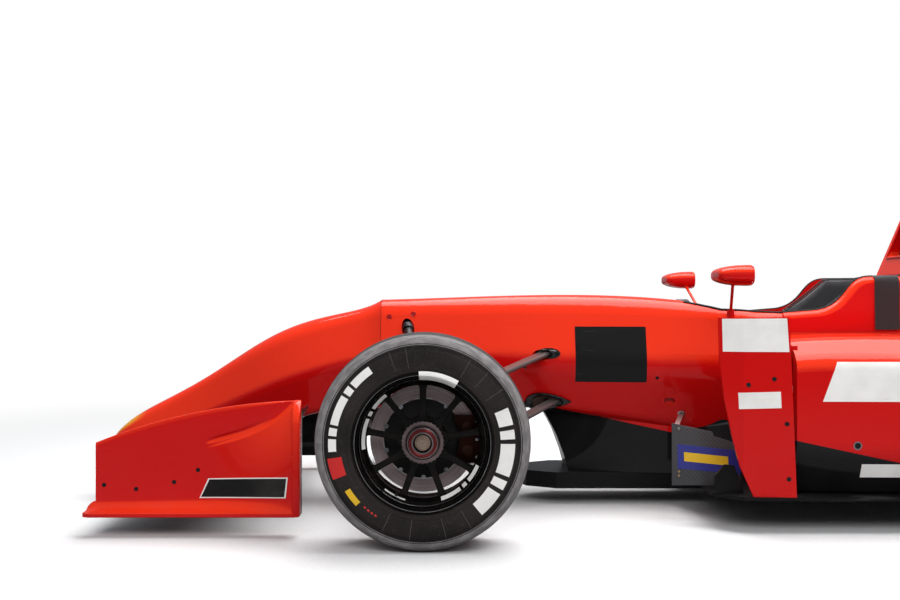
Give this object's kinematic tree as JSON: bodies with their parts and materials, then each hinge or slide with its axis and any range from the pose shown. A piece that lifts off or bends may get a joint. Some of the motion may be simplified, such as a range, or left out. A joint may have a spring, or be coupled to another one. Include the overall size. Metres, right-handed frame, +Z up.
{
  "type": "open wheel racing car",
  "caption": "Single seat open wheel racing car with front and rear wings, sidepods and pushrod suspension.",
  "frame": {"origin": "on the ground, in the middle of the car's length and width", "axes": "+X towards the tail, +Y to the car's right, +Z up"},
  "size_m": [4.351, 1.841, 0.9449],
  "materials": {
    "red_paint": "gloss",
    "dark_carbon": "satin",
    "wing_black": "satin",
    "vane_grey": "satin",
    "tyre_rubber": "matte",
    "wheel_black": "satin",
    "brake_iron": "machined",
    "upright_metal": "satin",
    "arm_black": "satin",
    "rod_metal": "satin",
    "engine_metal": "cast",
    "box_metal": "cast",
    "seat_shell": "matte",
    "pad_foam": "matte",
    "belt_webbing": "woven",
    "grip_rubber": "matte",
    "light_red": "gloss"
  },
  "bodies": {
    "chassis": {"monocoque": "red_paint", "nose_cone": "red_paint", "mirrors": "red_paint", "floor": "dark_carbon", "sidepod_right": "red_paint", "sidepod_left": "red_paint", "side_boards": "red_paint", "turning_vanes": "vane_grey", "front_wing": "wing_black", "front_endplates": "red_paint", "front_wing_pylons": "wing_black", "engine_cover": "red_paint", "roll_hoop": "red_paint", "headrest": "pad_foam", "seat": "seat_shell", "harness": "belt_webbing", "engine": "engine_metal", "gearbox": "box_metal", "rear_crash_box": "dark_carbon", "rain_light": "light_red", "rear_wing": "wing_black", "rear_beam_wing": "wing_black", "rear_endplates": "red_paint", "front_wishbones": "arm_black", "front_push_rods": "rod_metal", "rear_wishbones": "arm_black", "rear_rods": "rod_metal", "rear_uprights": "upright_metal"},
    "wheel_front_left": {"rim_front_left": "wheel_black", "tyre_front_left": "tyre_rubber", "brake_disc_front_left": "brake_iron"},
    "wheel_front_right": {"rim_front_right": "wheel_black", "tyre_front_right": "tyre_rubber", "brake_disc_front_right": "brake_iron"},
    "wheel_rear_left": {"rim_rear_left": "wheel_black", "tyre_rear_left": "tyre_rubber", "brake_disc_rear_left": "brake_iron"},
    "wheel_rear_right": {"rim_rear_right": "wheel_black", "tyre_rear_right": "tyre_rubber", "brake_disc_rear_right": "brake_iron"},
    "knuckle_left": {"knuckle_left": "upright_metal"},
    "knuckle_right": {"knuckle_right": "upright_metal"},
    "tie_rod_left": {"tie_rod_left": "rod_metal"},
    "tie_rod_right": {"tie_rod_right": "rod_metal"},
    "steering_rack": {"steering_rack": "rod_metal"},
    "steering_wheel": {"steering_wheel": "grip_rubber"}
  },
  "joints": [
    {"name": "steer_left", "type": "hinge", "parent": "chassis", "child": "knuckle_left", "pos_m": [-1.1605, -0.7, 0.277], "axis": [0, 0, 1], "range_deg": [-18, 18]},
    {"name": "roll_front_left", "type": "hinge", "parent": "knuckle_left", "child": "wheel_front_left", "pos_m": [-1.1605, -0.7975, 0.277], "axis": [0, -1, 0], "continuous": true},
    {"name": "roll_rear_left", "type": "hinge", "parent": "chassis", "child": "wheel_rear_left", "pos_m": [1.6395, -0.77, 0.285], "axis": [0, -1, 0], "continuous": true},
    {"name": "tie_rod_left_swing", "type": "hinge", "parent": "knuckle_left", "child": "tie_rod_left", "pos_m": [-1.2655, -0.7, 0.3], "axis": [0, 0, 1], "range_deg": [-18, 18]},
    {"name": "steer_right", "type": "hinge", "parent": "chassis", "child": "knuckle_right", "pos_m": [-1.1605, 0.7, 0.277], "axis": [0, 0, 1], "range_deg": [-18, 18]},
    {"name": "roll_front_right", "type": "hinge", "parent": "knuckle_right", "child": "wheel_front_right", "pos_m": [-1.1605, 0.7975, 0.277], "axis": [0, -1, 0], "continuous": true},
    {"name": "roll_rear_right", "type": "hinge", "parent": "chassis", "child": "wheel_rear_right", "pos_m": [1.6395, 0.77, 0.285], "axis": [0, -1, 0], "continuous": true},
    {"name": "tie_rod_right_swing", "type": "hinge", "parent": "knuckle_right", "child": "tie_rod_right", "pos_m": [-1.2655, 0.7, 0.3], "axis": [0, 0, 1], "range_deg": [-18, 18]},
    {"name": "rack_slide", "type": "slide", "parent": "chassis", "child": "steering_rack", "axis": [0, -1, 0], "range_m": [-0.0326, 0.0326]},
    {"name": "steering_wheel_turn", "type": "hinge", "parent": "chassis", "child": "steering_wheel", "pos_m": [-0.3225, 0, 0.556], "axis": [0.9511, 0, 0.309], "range_deg": [-216, 216]}
  ],
  "couplings": [
    {"joint": "tie_rod_left_swing", "follows": "steer_left", "ratio": -1},
    {"joint": "tie_rod_right_swing", "follows": "steer_left", "ratio": -1},
    {"joint": "steer_right", "follows": "steer_left", "ratio": 1},
    {"joint": "rack_slide", "follows": "steer_left", "m_per_rad": 0.1033},
    {"joint": "steering_wheel_turn", "follows": "steer_left", "ratio": 12}
  ]
}
